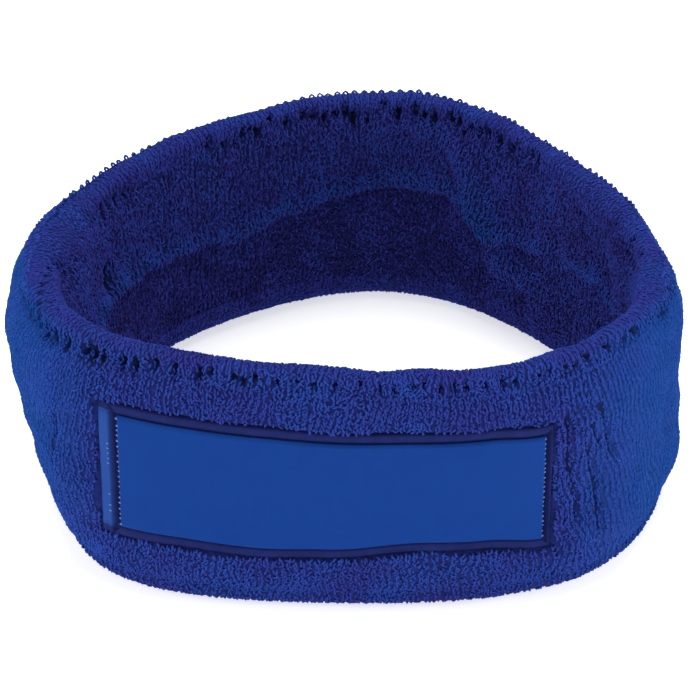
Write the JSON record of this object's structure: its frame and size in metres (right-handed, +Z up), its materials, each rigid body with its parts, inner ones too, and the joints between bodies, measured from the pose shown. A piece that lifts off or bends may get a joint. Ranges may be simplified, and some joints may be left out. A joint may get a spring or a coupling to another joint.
{
  "type": "sports headband",
  "caption": "Terry-knit elastic headband, a closed loop of padded pile fabric with rolled edges, an inside seam and a smooth satin label panel stitched into the front.",
  "frame": {"origin": "middle of the footprint's bounding box, on the plane that the lower edge stands on", "axes": "+Z up through the head opening; -Y is the front, where the label looks; +X is to the right seen from the front"},
  "size_m": [0.1297, 0.1289, 0.05],
  "materials": {
    "terry_pile": "looped cotton terry pile, royal blue",
    "welt_knit": "plain elastic rib knit, royal blue",
    "seam_thread": "textured polyester overlock thread",
    "covered_elastic": "polyester-covered rubber yarn",
    "interlining": "adhesive non-woven",
    "satin": "smooth woven polyester satin",
    "satin_hem": "folded satin edge, pressed flat",
    "label_thread": "bright trilobal polyester sewing thread"
  },
  "bodies": {
    "root": {"outer_terry_ply": "terry_pile", "inner_terry_upper": "terry_pile", "inner_terry_lower": "terry_pile", "top_welt": "welt_knit", "bottom_welt": "welt_knit", "seam_selvedge_upper": "welt_knit", "seam_selvedge_lower": "welt_knit", "seam_overlock_thread": "seam_thread", "top_welt_elastic": "covered_elastic", "bottom_welt_elastic": "covered_elastic", "body_elastic_yarns": "covered_elastic", "label_ground": "welt_knit", "label_backing": "interlining", "label_face": "satin", "label_hem": "satin_hem", "label_stitching": "label_thread"}
  },
  "joints": []
}
